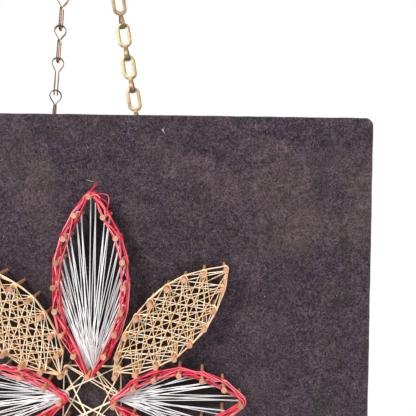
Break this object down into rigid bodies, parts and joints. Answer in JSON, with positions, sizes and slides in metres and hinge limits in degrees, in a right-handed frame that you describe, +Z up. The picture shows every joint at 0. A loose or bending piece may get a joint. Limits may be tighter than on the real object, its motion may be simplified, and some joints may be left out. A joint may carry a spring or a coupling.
{
  "type": "string art board with hanging chain",
  "caption": "Square felt-covered board with thread wound on nails in a petal motif, hung from a folded-link chain on screw eyes.",
  "frame": {"origin": "the hanging point, under the chain's top link where the wall nail bears", "axes": "+Z up, front of the board faces -Y, +X to the viewer's right"},
  "size_m": [0.305, 0.0441, 0.443],
  "materials": {
    "wood": "bare plywood",
    "felt": "charcoal felt, mottled, with lint",
    "red_thread": "shiny crimson rayon thread",
    "cream_thread": "lustrous cream-gold thread",
    "white_thread": "shiny white thread",
    "nails": "coppered steel pins, dull",
    "brass": "antique brass, rubbed bright on the rings"
  },
  "bodies": {
    "root": {"board": "wood", "felt_cover": "felt", "red_petal_n": "red_thread", "red_petal_e": "red_thread", "red_petal_s": "red_thread", "red_petal_w": "red_thread", "cream_leaf_ne": "cream_thread", "cream_leaf_nw": "cream_thread", "cream_leaf_sw": "cream_thread", "cream_leaf_se": "cream_thread", "white_fan_n": "white_thread", "white_fan_e": "white_thread", "white_fan_s": "white_thread", "white_fan_w": "white_thread", "cream_hub_star": "cream_thread", "chain_left_1": "brass", "chain_left_2": "brass", "chain_left_3": "brass", "chain_left_4": "brass", "chain_left_5": "brass", "chain_left_6": "brass", "chain_left_7": "brass", "chain_left_8": "brass", "chain_top": "brass", "chain_right_1": "brass", "chain_right_2": "brass", "chain_right_3": "brass", "chain_right_4": "brass", "chain_right_5": "brass", "chain_right_6": "brass", "chain_right_7": "brass", "chain_right_8": "brass", "screw_eye_left": "brass", "screw_eye_right": "brass"}
  },
  "joints": []
}
